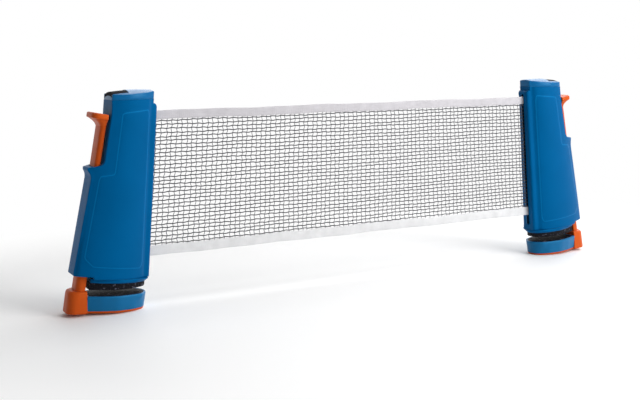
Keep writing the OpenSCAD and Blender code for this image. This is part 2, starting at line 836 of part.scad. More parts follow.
for (side = ["left", "right"]) {
    shell(side, false);
    shell(side, true);
    top_cap(side);
    cap_inlay(side);
    shell_screws(side);
    upper_jaw(side);
    upper_jaw_pad(side);
    slider(side);
    lower_jaw(side);
    lower_jaw_pad(side);
    jaw_screws(side);
    clamp_spring(side);
    spring_rod(side);
}
reel_axle();
reel_tube();
reel_lower_hub();
reel_upper_hub();
drive_spring_cup();
drive_spring();
wound_net();
net_mesh();
net_top_hem();
net_bottom_hem();
net_anchor_rod();
net_end_sleeve();
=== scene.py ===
import json
import math

import bmesh
import bpy
import numpy as np
from mathutils import Matrix, Vector
from mathutils.geometry import convex_hull_2d, delaunay_2d_cdt

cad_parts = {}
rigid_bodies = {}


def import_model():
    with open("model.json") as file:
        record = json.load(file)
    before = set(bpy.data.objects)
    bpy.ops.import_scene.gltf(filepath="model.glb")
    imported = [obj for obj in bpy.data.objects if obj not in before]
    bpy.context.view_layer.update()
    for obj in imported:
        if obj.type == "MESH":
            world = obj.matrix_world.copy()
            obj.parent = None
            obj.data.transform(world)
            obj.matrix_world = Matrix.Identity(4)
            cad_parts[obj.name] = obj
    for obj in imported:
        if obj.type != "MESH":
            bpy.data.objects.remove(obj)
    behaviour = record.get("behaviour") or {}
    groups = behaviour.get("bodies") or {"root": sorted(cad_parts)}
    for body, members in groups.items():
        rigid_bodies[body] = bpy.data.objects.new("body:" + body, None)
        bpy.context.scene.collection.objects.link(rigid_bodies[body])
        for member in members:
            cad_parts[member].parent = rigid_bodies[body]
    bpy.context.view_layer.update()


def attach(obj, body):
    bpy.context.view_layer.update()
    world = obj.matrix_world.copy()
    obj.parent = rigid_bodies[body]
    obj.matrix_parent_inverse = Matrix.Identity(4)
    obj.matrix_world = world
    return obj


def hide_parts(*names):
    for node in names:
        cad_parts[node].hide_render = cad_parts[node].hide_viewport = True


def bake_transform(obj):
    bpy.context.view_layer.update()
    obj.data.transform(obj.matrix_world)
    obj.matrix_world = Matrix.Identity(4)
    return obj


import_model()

rng = np.random.default_rng(7)
D = bpy.data
MM = 0.001

# ---------------------------------------------------------------- sizes, in millimetres, as in the CAD source
# A post's own frame: u outboard from its net side, v towards the viewer, z up along its lean.
# Half the spacing of the posts on the floor, and their lean towards each other
HALF_GAP, LEAN = 248.5, math.radians(5)
# Housing: underside, centre and radius of the rounded shoulder, relief beside the foot block
BASE_Z, SHOULDER_Z, STEP, RELIEF = 31.4, 199.0, 4.0, 2.6
# Cap: height, radius along the row and place of its crest, slope of its seam, thickness, radius across the post
CREST_Z, CREST_R, CREST_U, SEAM_SLOPE = 215.6, 206.0, 5.0, math.radians(5.5)
CAP_T, CROWN_R = 8.6, 36.0
# Outboard side: reach at the bottom, height and reach of the finger ledge
BASE_U, LEDGE_Z, LEDGE_U = 76.0, 138.0, 66.2
# Scoop under the ledge, fillet behind it, rise of the ledge's surface
SCOOP_R, FILLET_R, LEDGE_SLOPE = 11.0, 7.0, 0.23
# Slider: tilt and place of the bar's outer face, its width and thickness, thickness of the strap above it
TILT, BAR_U, BAR_W, BAR_T, STRAP_T = math.radians(6.1), 74.8, 21.4, 9.0, 5.0
# Thumb flange: top, reach, width, thickness, height of the gusset under it
SLIDER_TOP, FLANGE_OUT, FLANGE_W, FLANGE_T, GUSSET = 191.0, 10.0, 29.0, 5.2, 8.0
# Lower jaw: rim's height, net-side end, inner face of the foot block, widths in the middle and at the block
RIM_Z, JAW_U, BLOCK_U, JAW_W, JAW_ROOT = 17.0, 4.3, 61.5, 42.0, 27.0
# Its corner radius, draft, slanted nose and rim; top of its pad, and the level of the upper pad's underside
JAW_CORNER, JAW_DRAFT, SLANT, RIM_W, PAD_TOP, UPPER_PAD = 8.0, 1.6, 3.4, 2.2, 17.3, 22.9
# Foot: tilt, and the place of the line that it is tilted about
FOOT_TILT, PIVOT = math.radians(3), 9.9
# Upper plate: thickness and inset, inset of its pad. Foot block: outer face and height. Thickness of the sole
LIP_T, UPPER_IN, UPPER_PAD_IN, FOOT_U, FOOT_Z, SOLE = 4.0, 0.6, 1.6, 80.5, 22.0, 2.2
# Net: top edge along the post, height, widths of its hems
NET_TOP, NET_H, TOP_HEM, BOTTOM_HEM = 195.3, 145.0, 8.8, 10.0
# Half widths of the net slot and of the slider's channel, gap between strap and neck
SLOT, CHANNEL, NECK_GAP = 1.6, 11.1, 2.3

# Deepest point of the scoop, and the slant of the outboard side below it
HOOK_Z, HOOK_U = LEDGE_Z - 11.5, LEDGE_U - 2.7
OUT_TAN = (BASE_U - HOOK_U) / (HOOK_Z - BASE_Z)
# Where the neck stops following the strap and goes straight up
KINK_Z = CREST_Z - 25.9


def bar_out(z):
    """Outer face of the bar and strap at a height."""
    return BAR_U - z * math.tan(TILT)


def neck_out(z):
    """Outboard side of the neck, behind the strap."""
    return bar_out(z) - (STRAP_T + NECK_GAP) / math.cos(TILT)


NECK_U = neck_out(KINK_Z)


def seam(u):
    """Height of the seam between the housing and its cap."""
    return CREST_Z - (u - 2 * STEP) * math.tan(SEAM_SLOPE) - CAP_T / math.cos(SEAM_SLOPE)


# ---------------------------------------------------------------- frames
def in_post(side, pts):
    """Points (u, v, z) of a leaning post, in metres in the shared frame."""
    p = np.asarray(pts, float).reshape(-1, 3)
    c, s = math.cos(LEAN), math.sin(LEAN)
    x = HALF_GAP + p[:, 0] * c - p[:, 2] * s
    z = p[:, 0] * s + p[:, 2] * c
    sg = -1 if side == "left" else 1
    return np.stack([sg * x, -p[:, 1], z], 1) * MM


def on_side(side, pts):
    """The same for a part that stands level."""
    p = np.asarray(pts, float).reshape(-1, 3)
    sg = -1 if side == "left" else 1
    return np.stack([sg * (HALF_GAP + p[:, 0]), -p[:, 1], p[:, 2]], 1) * MM


def on_foot(side, pts):
    """A part of the foot, which is tilted about a line on the floor near its net side."""
    p = np.asarray(pts, float).reshape(-1, 3)
    c, s, u = math.cos(FOOT_TILT), math.sin(FOOT_TILT), p[:, 0] - PIVOT
    return on_side(side, np.stack([PIVOT + u * c - p[:, 2] * s, p[:, 1], u * s + p[:, 2] * c], 1))


def from_slide(pts):
    """Slider frame (x outboard of the bar's outer face, v, along the bar) to the post's frame."""
    p = np.asarray(pts, float).reshape(-1, 3)
    c, s = math.cos(TILT), math.sin(TILT)
    return np.stack([BAR_U + p[:, 0] * c - p[:, 2] * s, p[:, 1], p[:, 0] * s + p[:, 2] * c], 1)


# ---------------------------------------------------------------- mesh helpers
MERGE, DEGENERATE = 2e-6, 1e-6      # metres


def mesh_object(name, verts, faces, mats, face_mat, sharp):
    """A smooth-shaded object whose edges over `sharp` degrees stay sharp."""
    me = D.meshes.new(name)
    me.from_pydata([tuple(v) for v in verts], [], [tuple(int(i) for i in f) for f in faces])
    for m in mats:
        me.materials.append(m)
    me.polygons.foreach_set("material_index", list(face_mat))
    ob = D.objects.new(name, me)
    bpy.context.scene.collection.objects.link(ob)
    bm = bmesh.new()
    bm.from_mesh(me)
    bmesh.ops.remove_doubles(bm, verts=bm.verts, dist=MERGE)
    bmesh.ops.dissolve_degenerate(bm, edges=bm.edges, dist=DEGENERATE)
    bmesh.ops.recalc_face_normals(bm, faces=bm.faces)
    limit = math.radians(sharp)
    for f in bm.faces:
        f.smooth = True
    for e in bm.edges:
        if len(e.link_faces) == 2 and e.calc_face_angle(0) > limit:
            e.smooth = False
    bm.to_mesh(me)
    bm.free()
    return ob


class Build:
    """Collects the vertices and faces of one piece, several shells of it if need be."""

    def __init__(self):
        self.v, self.f, self.m = [], [], []

    def add(self, pts, faces, mat=0):
        n = len(self.v)
        self.v += [tuple(p) for p in pts]
        self.f += [tuple(n + i for i in f) for f in faces]
        self.m += [mat] * len(faces)

    def loft(self, rows, closed=True, caps=(True, True), mat=0):
        """Skins a list of rows of points; caps closes the first and the last row."""
        k = len(rows[0])
        pts = [p for r in rows for p in r]
        faces = []
        for i in range(len(rows) - 1):
            for j in range(k if closed else k - 1):
                a, b = i * k + j, i * k + (j + 1) % k
                faces.append((a, b, b + k, a + k))
        if caps[0]:
            faces.append(tuple(range(k))[::-1])
        if caps[1]:
            faces.append(tuple(range((len(rows) - 1) * k, len(rows) * k)))
        self.add(pts, faces, mat)


def arc(c, r, a0, a1, n):
    t = np.radians(np.linspace(a0, a1, n + 1))
    return [(c[0] + r * math.cos(a), c[1] + r * math.sin(a)) for a in t]


def fillet_poly(points, radii, seg=5):
    """A closed outline whose corners are rounded."""
    out, n = [], len(points)
    for i in range(n):
        p, a, b, r = (np.array(x, float) for x in (points[i], points[i - 1], points[(i + 1) % n], radii[i]))
        if r <= 0:
            out.append(tuple(p))
            continue
        da, db = (a - p) / np.linalg.norm(a - p), (b - p) / np.linalg.norm(b - p)
        half = math.acos(max(-1, min(1, float(da @ db)))) / 2
        d = float(r) / math.tan(half)
        c = p + (da + db) / np.linalg.norm(da + db) * float(r) / math.sin(half)
        s, e = p + da * d - c, p + db * d - c
        t0, t1 = math.atan2(s[1], s[0]), math.atan2(e[1], e[0])
        dt = (t1 - t0 + math.pi) % (2 * math.pi) - math.pi
        for k in range(seg + 1):
            t = t0 + dt * k / seg
            out.append((c[0] + float(r) * math.cos(t), c[1] + float(r) * math.sin(t)))
    return out


def resample(line, step):
    """Adds points to a closed outline so that no side is longer than step."""
    out, n = [], len(line)
    for i in range(n):
        a, b = np.array(line[i], float), np.array(line[(i + 1) % n], float)
        k = max(1, int(math.ceil(np.linalg.norm(b - a) / step)))
        out += [tuple(a + (b - a) * j / k) for j in range(k)]
    return out


def normals_2d(line):
    """Outward normals of a closed anticlockwise outline, at its points."""
    p = np.array(line)
    e = np.roll(p, -1, 0) - p
    e /= np.maximum(np.linalg.norm(e, axis=1, keepdims=True), 1e-9)
    n = np.stack([e[:, 1], -e[:, 0]], 1)
    m = n + np.roll(n, 1, 0)
    m /= np.maximum(np.linalg.norm(m, axis=1, keepdims=True), 1e-9)
    k = np.clip((m * n).sum(1, keepdims=True), 0.6, 1)
    return m / k


def ease(x):
    x = min(1.0, max(0.0, x))
    return x * x * (3 - 2 * x)


def inside(poly, pts):
    """Which of the points lie inside a closed outline."""
    poly, pts = np.array(poly), np.array(pts)
    x, y = pts[:, 0], pts[:, 1]
    hit = np.zeros(len(pts), bool)
    for i in range(len(poly)):
        (x0, y0), (x1, y1) = poly[i - 1], poly[i]
        cross = (y0 > y) != (y1 > y)
        if y1 != y0:
            hit ^= cross & (x < (x1 - x0) * (y - y0) / (y1 - y0) + x0)
    return hit


def far_from(poly, pts, least):
    """Which of the points lie at least so far from a closed outline."""
    pts = np.array(pts, float)
    best = np.full(len(pts), 1e9)
    poly = np.array(poly, float)
    for i in range(len(poly)):
        a, b = poly[i - 1], poly[i]
        ab = b - a
        t = np.clip(((pts - a) @ ab) / max(ab @ ab, 1e-9), 0, 1)
        best = np.minimum(best, np.linalg.norm(pts - a - t[:, None] * ab, axis=1))
    return best >= least


# ---------------------------------------------------------------- materials
def material(name, color, rough, spec, metallic=0.0, sheen=0.0):
    m = D.materials.new(name)
    m.use_nodes = True
    nt = m.node_tree
    b = nt.nodes["Principled BSDF"]
    b.inputs["Base Color"].default_value = (*color, 1)
    b.inputs["Roughness"].default_value = rough
    b.inputs["Metallic"].default_value = metallic
    b.inputs["Specular IOR Level"].default_value = spec
    b.inputs["Sheen Weight"].default_value = sheen
    return m, nt, b


def node(nt, kind, **values):
    """A node with its properties, or else its inputs, set by name."""
    n = nt.nodes.new(kind)
    for k, v in values.items():
        if hasattr(n, k):
            setattr(n, k, v)
        else:
            n.inputs[k.replace("_", " ")].default_value = v
    return n


def texture(nt, kind, **values):
    """A texture node on the object's own coordinates."""
    n = node(nt, kind, **values)
    nt.links.new(node(nt, "ShaderNodeTexCoord").outputs["Object"], n.inputs["Vector"])
    return n


def ramp(nt, source, p0, c0, p1, c1):
    """A colour ramp with two stops."""
    r = node(nt, "ShaderNodeValToRGB")
    for e, p, c in zip(r.color_ramp.elements, (p0, p1), (c0, c1)):
        e.position, e.color = p, (*c, 1)
    nt.links.new(source, r.inputs["Fac"])
    return r.outputs["Color"]


def span(nt, source, low, high):
    """Spreads a value from 0 to 1 over a range."""
    r = node(nt, "ShaderNodeMapRange")
    r.inputs["To Min"].default_value, r.inputs["To Max"].default_value = low, high
    nt.links.new(source, r.inputs["Value"])
    return r.outputs["Result"]


def bumps(nt, b, height, strength, distance):
    n = node(nt, "ShaderNodeBump", Strength=strength, Distance=distance)
    nt.links.new(height, n.inputs["Height"])
    nt.links.new(n.outputs["Normal"], b.inputs["Normal"])


def moulded(name, color, rough, grain=0.05, vary=0.06, spec=0.4, tint=(1, 1, 1)):
    """Injection-moulded plastic: a fine eroded grain, slow colour drift, soft smudges in its gloss."""
    m, nt, b = material(name, color, rough, spec)
    b.inputs["Specular Tint"].default_value = (*tint, 1)
    drift = texture(nt, "ShaderNodeTexNoise", Scale=18.0, Detail=3.0)
    lo, hi = [c * (1 - vary) for c in color], [min(1, c * (1 + vary)) for c in color]
    nt.links.new(ramp(nt, drift.outputs["Fac"], 0.3, lo, 0.7, hi), b.inputs["Base Color"])
    smudge = texture(nt, "ShaderNodeTexNoise", Scale=45.0, Detail=6.0, Roughness=0.6)
    nt.links.new(span(nt, smudge.outputs["Fac"], rough * 0.82, rough * 1.22), b.inputs["Roughness"])
    fine = texture(nt, "ShaderNodeTexVoronoi", Scale=1900.0)
    bumps(nt, b, fine.outputs["Distance"], grain, 0.00025)
    return m


def pebbled(name):
    """Black rubber with a raised, uneven grain and paler specks."""
    m, nt, b = material(name, (0.004, 0.004, 0.006), 0.6, 0.12)
    cells = texture(nt, "ShaderNodeTexVoronoi", Scale=560.0, Randomness=1.0)
    bumps(nt, b, ramp(nt, cells.outputs["Distance"], 0.0, (1, 1, 1), 0.75, (0, 0, 0)), 0.9, 0.0006)
    specks = texture(nt, "ShaderNodeTexNoise", Scale=330.0, Detail=2.0)
    tone = ramp(nt, specks.outputs["Fac"], 0.6, (0.003, 0.003, 0.006), 0.72, (0.12, 0.12, 0.15))
    nt.links.new(tone, b.inputs["Base Color"])
    return m


def woven(name, color, warp=900.0):
    """Woven tape or cord: fine ribs both ways and a faint cloudiness."""
    m, nt, b = material(name, color, 0.85, 0.2, sheen=0.15)
    mix = node(nt, "ShaderNodeMath", operation="MULTIPLY")
    for i, (axis, finer) in enumerate((("X", 1.0), ("Z", 1.3))):
        w = texture(nt, "ShaderNodeTexWave", Scale=warp / (2 * math.pi) * finer, Distortion=0.6, Detail=1.0)
        w.bands_direction = axis
        nt.links.new(w.outputs["Fac"], mix.inputs[i])
    bumps(nt, b, mix.outputs["Value"], 0.35, 0.0003)
    cloud = texture(nt, "ShaderNodeTexNoise", Scale=90.0, Detail=5.0)
    tone = ramp(nt, cloud.outputs["Fac"], 0.3, [c * 0.86 for c in color], 0.75, color)
    nt.links.new(tone, b.inputs["Base Color"])
    return m


def metal(name, color, rough):
    m, nt, b = material(name, color, rough, 0.5, metallic=1.0)
    n = texture(nt, "ShaderNodeTexNoise", Scale=400.0, Detail=4.0)
    nt.links.new(span(nt, n.outputs["Fac"], rough * 0.7, rough * 1.4), b.inputs["Roughness"])
    return m


SEA = (0.02, 0.42, 0.8)         # tint of the housing's gloss
BLUE = moulded("blue_plastic", (0.0, 0.102, 0.285), 0.45, spec=0.14, tint=SEA)
# Painted highlight: a paler, glossier blue for the band along the front panel's raised edge
PANEL_HIGHLIGHT = moulded("panel_painted_highlight", (0.002, 0.15, 0.39), 0.42, spec=0.2, tint=SEA)
CAPBLUE = moulded("cap_plastic", (0.0, 0.112, 0.31), 0.3, grain=0.02, spec=0.38, tint=(0.3, 0.75, 1))
JAWBLUE = moulded("jaw_plastic", (0.008, 0.14, 0.33), 0.38, spec=0.35, tint=(0.2, 0.6, 0.9))
ORANGE = moulded("orange_plastic", (0.60, 0.088, 0.012), 0.42, spec=0.3, tint=(1, 0.45, 0.15))
# Painted shade: near-black for the shade inside the net slot and the slider's ways, whose walls are the blue
# plastic
RECESS_SHADE = moulded("painted_shade_inside", (0.003, 0.006, 0.012), 0.5, spec=0.1)
INLAY = moulded("inlay_plastic", (0.008, 0.007, 0.009), 0.7, spec=0.04)
BLACK = moulded("black_plastic", (0.02, 0.02, 0.022), 0.5)
RUBBER = pebbled("pebbled_rubber")
STEEL = metal("zinc_steel", (0.62, 0.62, 0.64), 0.3)
SPRING = metal("spring_steel", (0.42, 0.42, 0.45), 0.35)
# One tape in two tones: the lower hem's paler copy is painted light, the top hem's greyer tone painted shade
TAPE = woven("hem_tape", (0.66, 0.64, 0.67))
HEM_TAPE_PAINTED_LIGHT = woven("lower_hem_tape_painted_light", (0.84, 0.84, 0.85))
THREAD = woven("net_thread", (0.06, 0.06, 0.07), 2600.0)
THREAD2 = woven("net_thread_pale", (0.16, 0.16, 0.18), 2600.0)
ROLL = woven("wound_net", (0.3, 0.3, 0.32), 2600.0)

# ---------------------------------------------------------------- housing
# The bulging face is part of a cone: place of its axis, radius and half thickness, at the bottom and the top
CONE = dict(ub=40.0, ut=30.0, rb=68.0, rt=47.0, hb=22.5, ht=17.6, z1=SHOULDER_Z + 6)
FACE_IN = 0.45                      # the scene's face lies this far inside the solid's, for the parts raised on it
RIB, VALLEY = (2.0, 1.8, 0.5), (6.4, 2.2, 1.1)      # along the net side: place, width, height or depth
WIDE_LOW, WIDE_LESS, WIDE_FADE = 4.8, 3.0, 6        # rounding of the outboard edge, its taper and run-out


def face_v(u, z):
    """Half thickness of the housing at a place of its side view."""
    t = (z - BASE_Z) / (CONE["z1"] - BASE_Z)
    uc = CONE["ub"] + (CONE["ut"] - CONE["ub"]) * t
    r = CONE["rb"] + (CONE["rt"] - CONE["rb"]) * t
    h = CONE["hb"] + (CONE["ht"] - CONE["hb"]) * t
    v = math.sqrt(max(r * r - (u - uc) ** 2, 1)) - (r - h)
    # the rounded rib on the net side and the valley beside it
    rib, valley = (k[2] * math.exp(-((u - k[0]) / k[1]) ** 2) for k in (RIB, VALLEY))
    v += rib - valley
    # wide rounding of the outboard edge below the ledge
    if z < HOOK_Z + WIDE_FADE:
        wide = WIDE_LOW - WIDE_LESS * (z - BASE_Z) / (HOOK_Z - BASE_Z)
        x = 1 - (BASE_U - (z - BASE_Z) * OUT_TAN - u) / wide
        if x > 0:
            drop = 0.85 * wide * (1 - math.sqrt(max(0, 1 - min(1, x) ** 2)))
            v -= drop * ease((HOOK_Z + WIDE_FADE - z) / (2 * WIDE_FADE))
    return v - FACE_IN


scoop_a = math.degrees(math.atan(OUT_TAN))
scoop_c = (HOOK_U + SCOOP_R * math.cos(math.radians(scoop_a)), HOOK_Z + SCOOP_R * math.sin(math.radians(scoop_a)))
scoop_end = math.degrees(math.acos((LEDGE_U - scoop_c[0]) / SCOOP_R))
FQ = math.hypot(1, LEDGE_SLOPE)


def ledge_line(u):
    return LEDGE_Z + (LEDGE_U - u) * LEDGE_SLOPE


# Centre of the fillet between the ledge and the neck
fu = (neck_out(0) - math.tan(TILT) * (ledge_line(0) + FILLET_R * FQ) + FILLET_R / math.cos(TILT)) / (
    1 - math.tan(TILT) * LEDGE_SLOPE)
fillet_c = (fu, ledge_line(fu) + FILLET_R * FQ)


def housing_outline():
    """Side view of the housing below the cap, anticlockwise, in sides of 1.6 mm at most."""
    tip = (LEDGE_U, scoop_c[1] + SCOOP_R * math.sin(math.radians(scoop_end)))
    pts = [(0, BASE_Z), (BLOCK_U - 4, BASE_Z), (BLOCK_U - 2.5, BASE_Z + RELIEF), (BASE_U, BASE_Z + RELIEF)]
    rad = [1.0, 0.8, 0.5, 1.2]
    sc = arc(scoop_c, SCOOP_R, 180 + scoop_a, scoop_end + 4, 10)
    pts += sc
    rad += [0] * len(sc)
    pts += [tip, (LEDGE_U, LEDGE_Z)]
    rad += [0.45, 0.6]
    fl = arc(fillet_c, FILLET_R, 180 + math.degrees(math.atan2(1, LEDGE_SLOPE)), 180 + math.degrees(TILT), 12)
    pts += fl
    rad += [0] * len(fl)
    hair = 0.06                     # gap at the cap's seam
    pts += [(NECK_U, KINK_Z), (NECK_U, seam(NECK_U) - hair), (STEP, seam(STEP) - hair), (STEP, SHOULDER_Z + STEP)]
    rad += [0, 0.3, 0.3, 0]
    sh = arc((STEP, SHOULDER_Z), STEP, 90, 180, 8)[1:]
    pts += sh
    rad += [0] * len(sh)
    return resample(fillet_poly(pts, rad, 5), 1.6)


OUTLINE = housing_outline()


def edge_radius(p, back):
    """Rounding of the outer edge: wide on the net side, small at the cap's seam."""
    u, z = p
    if z > seam(u) - 1.2:
        return 0.35
    if u < 1.2:
        return 5.0 if back and z < SHOULDER_Z - 3 else 2.8
    if u < STEP + 0.5 and z > SHOULDER_Z - 1:
        return 1.6
    return 1.0


def panel_outline():
    """The line round the raised panel of the front half."""
    pts = [(11.5, 41.8), (59.5, 44.2), (67.2, 52.0), (56.4, 127.0), (55.0, 130.6), (42.4, 133.0), (37.0, 190.6),
           (34.6, 192.0), (10.4, 196.2), (9.4, 190.0), (9.8, 48.0)]
    rad = [3.0, 4.5, 4.5, 2.0, 2.0, 3.0, 1.6, 1.6, 1.6, 3.0, 3.0]
    return resample(fillet_poly(pts, rad, 5), 2.0)


PANEL_UP, HIGHLIGHT_HALF = 0.3, 0.5      # height of the panel, half width of the band round it that carries its edge's painted highlight
SCREWS, SCREW_R, SCREW_V = [(46.5, 45.0), (41.2, 146.5), (39.8, 180.0)], 2.9, 8.0
SLOT_LOW, SLOT_HIGH = 37.5, 197.5   # the net slot along the post
PLAY = 0.45                         # round the slider where it leaves the housing


def screw_ring(s):
    return arc(s, SCREW_R, 0, 360, 24)[:-1]


def face_grid(inner, loops, holes):
    """Points inside the face, closer together beside the net-side rib and the rounded outboard edge."""
    us = np.concatenate([np.arange(1.0, 13, 1.1), np.arange(13, 74, 2.6)])
    grid = []
    for z in np.arange(BASE_Z + 0.5, 206, 3.6):
        edge = BASE_U - (z - BASE_Z) * OUT_TAN
        grid += [(u, z) for u in us if u < edge - 6 or z > HOOK_Z]
        grid += [(edge - d, z) for d in (1.7, 2.5, 3.4, 4.4, 5.6) if z < HOOK_Z]
    grid = np.array(grid)
    keep = inside(inner, grid) & far_from(inner, grid, 1.0)
    for lp in loops:
        keep &= far_from(lp, grid, 0.7)
    for h in holes:
        keep &= ~inside(h, grid)
    return grid[keep]


def bulging_face(b, side, back, inner):
    """The face inside its rounded edge: a triangulated sheet with the panel and a painted highlight along the
    panel's edge, or with the screws' holes.
    """
    panel = np.array(panel_outline())
    pn = normals_2d(panel)
    holes = [np.array(screw_ring(s)) for s in SCREWS] if back else []
    highlight_band = [] if back else [panel + pn * HIGHLIGHT_HALF, panel - pn * HIGHLIGHT_HALF]
    pts, edges, n = [], [], 0
    for lp in [inner] + holes + highlight_band:
        pts += [tuple(p) for p in lp]
        edges += [(n + i, n + (i + 1) % len(lp)) for i in range(len(lp))]
        n += len(lp)
    pts += [tuple(p) for p in face_grid(inner, holes + highlight_band, holes)]
    vs, _, fs, _, _, _ = delaunay_2d_cdt([Vector(p) for p in pts], edges, [], 0, 1e-5)
    vs = np.array([tuple(v) for v in vs])
    mid = np.array([vs[list(f)].mean(0) for f in fs])
    ok = inside(inner, mid)
    for h in holes:
        ok &= ~inside(h, mid)
    mat = np.zeros(len(fs), int)
    # painted highlight: the band along the panel's edge gets the paler, glossier blue that its rounded edge would
    # catch as light
    if highlight_band:
        mat[inside(highlight_band[0], mid) & ~inside(highlight_band[1], mid)] = 2
    v = np.array([face_v(*p) for p in vs])
    if not back:
        v[inside(panel, vs)] += PANEL_UP
    sg = -1 if back else 1
    b.add(in_post(side, np.stack([vs[:, 0], sg * v, vs[:, 1]], 1)), [tuple(f) for f, k in zip(fs, ok) if k])
    b.m = [int(k) for k in mat[ok]]


def opening_depths(outline):
    """How near each point of the wall comes to the parting line: not quite, or only to an opening's side."""
    u, z = outline[:, 0], outline[:, 1]
    low = np.full(len(outline), 0.06)
    slot = (u < 0.05) & (z > SLOT_LOW) & (z < SLOT_HIGH)
    low[slot] = SLOT
    at_bar = np.array([bar_out(h) for h in z])
    low[(z > LEDGE_Z - 1) & (u < at_bar + PLAY) & (u > at_bar - STRAP_T - PLAY)] = CHANNEL
    low[(z < BASE_Z + RELIEF + 0.3) & (u < at_bar + PLAY) & (u > at_bar - BAR_T - PLAY)] = CHANNEL
    return low, slot


def slider_way(b, side, sg, depth, h0, h1):
    """The way of the strap through the ledge, or of the bar through the floor, lined near-black as painted shade.
    """
    x0, x1, w = -depth - 0.42, 0.42, CHANNEL + 0.02
    rows = []
    for top in (False, True):
        row = []
        for x, v in [(x1, 0), (x1, w), (x0, w), (x0, 0)]:
            h = h1 if top else h0
            if depth == STRAP_T and top:      # ends just under the ledge's surface
                for _ in range(6):
                    q = from_slide([(x, v, h)])[0]
                    zl = ledge_line(q[0])
                    if q[0] < fillet_c[0]:
                        zl = fillet_c[1] - math.sqrt(max(FILLET_R ** 2 - (q[0] - fillet_c[0]) ** 2, 0))
                    h += zl - 0.15 - q[2]
            elif not top:
                q = from_slide([(x, v, h)])[0]
                h += (BASE_Z + RELIEF + 0.15 - q[2]) if depth == BAR_T else 0
            row.append(in_post(side, from_slide([(x, sg * v, h)]))[0])
        rows.append(row)
    b.loft(rows, False, (False, False), 1)


def shell(side, back):
    b = Build()
    sg = -1 if back else 1
    outline = np.array(OUTLINE)
    nrm = normals_2d(outline)
    rad = np.array([edge_radius(p, back) for p in outline])
    for _ in range(2):
        rad = (np.roll(rad, 1) + 2 * rad + np.roll(rad, -1)) / 4
    inner = outline - nrm * rad[:, None]
    bulging_face(b, side, back, inner)
    # rounded front edge, then the wall back to the parting line or to an opening
    low, slot = opening_depths(outline)
    v0 = np.array([face_v(*p) for p in inner])
    rows = []
    for ph in np.radians([0, 18, 36, 54, 72, 90]):
        q = inner + nrm * (rad * math.sin(ph))[:, None]
        rows.append(np.stack([q[:, 0], sg * (v0 - rad * (1 - math.cos(ph))), q[:, 1]], 1))
    wall = v0 - rad
    for t in (0.5, 1.0):
        vv = wall + (low - wall) * t
        rows.append(np.stack([outline[:, 0], sg * np.maximum(vv, low), outline[:, 1]], 1))
    # a hair of the parting line between the halves
    q = outline - nrm * 0.12
    rows.append(np.stack([q[:, 0], sg * np.where(low < 0.1, 0.0, low), q[:, 1]], 1))
    b.loft([in_post(side, r) for r in rows], True, (False, False))
    # sides of the net slot, near-black as painted shade; the right post's is closed behind the net by a sheet of
    # the same painted shade
    deep = (outline - nrm * 2.4)[slot]
    liner = [in_post(side, [(p[0], sg * SLOT, p[1]) for p in outline[slot]]),
             in_post(side, [(p[0], sg * (SLOT + 0.2), p[1]) for p in deep])]
    if side == "right":
        liner.append(in_post(side, [(p[0] + 1.9, 0, p[1]) for p in deep]))
    b.loft(liner, False, (False, False), 1)
    slider_way(b, side, sg, STRAP_T, LEDGE_Z - 9, LEDGE_Z + 3.2)
    slider_way(b, side, sg, BAR_T, BASE_Z - 4.0, BASE_Z + 12)
    if back:
        for ring in (screw_ring(s) for s in SCREWS):
            b.loft([in_post(side, [(p[0], sg * face_v(*p), p[1]) for p in ring]),
                    in_post(side, [(p[0], sg * SCREW_V, p[1]) for p in ring])], True, (False, True), 0)
    name = f"{side}_{'rear' if back else 'front'}_housing"
    ob = mesh_object(name, b.v, b.f, [BLUE, RECESS_SHADE, PANEL_HIGHLIGHT], b.m, 40)
    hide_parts(f"{side}_{'rear' if back else 'front'}_shell")
    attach(ob, f"{side}_post")


# ---------------------------------------------------------------- cap
INLAY_U, INLAY_W, INLAY_DEEP = 31.0, 13.0, 4.0      # net-side end, half width and depth of the inlay's seat


def crown_z(u, v):
    """Height of the crown, which is rounded across the post and along the row."""
    r = CREST_R - CROWN_R + math.sqrt(CROWN_R ** 2 - v * v)
    return CREST_Z - CREST_R + math.sqrt(r * r - (u - CREST_U) ** 2)


def cap_section(u, shrink, drop, notch):
    """Section of the cap across the post, from its rear foot over the crown to its front foot."""
    h = face_v(u, 205.0) - shrink
    w = min(INLAY_W, h - 0.9)
    seat, lip, out = (INLAY_DEEP, 0.25, 0.2) if notch else (0, 0, 0.05)
    line = [(v, crown_z(u, v) - seat - drop) for v in w * np.linspace(0, 1, 6)[:-1] * 0.97]
    line.append((w, crown_z(u, w) - seat - drop))
    line.append((w, crown_z(u, w) - lip - drop))
    line.append((w + out, crown_z(u, w) - drop))
    r = min(1.5, h - w - 0.25)
    for a in np.radians((90, 65, 40, 18, 0)):
        line.append((h - r + r * math.cos(a), crown_z(u, h - r) - r + r * math.sin(a) - drop))
    for t in (0.5, 0.93):
        z = crown_z(u, h) - drop - r
        line.append((h, z + (seam(u) + 0.25 - z) * t))
    line.append((h - 0.2, seam(u) + 0.06))
    full = [(-v, z) for v, z in line[::-1]] + line[1:]
    return [(u, v, z) for v, z in full]


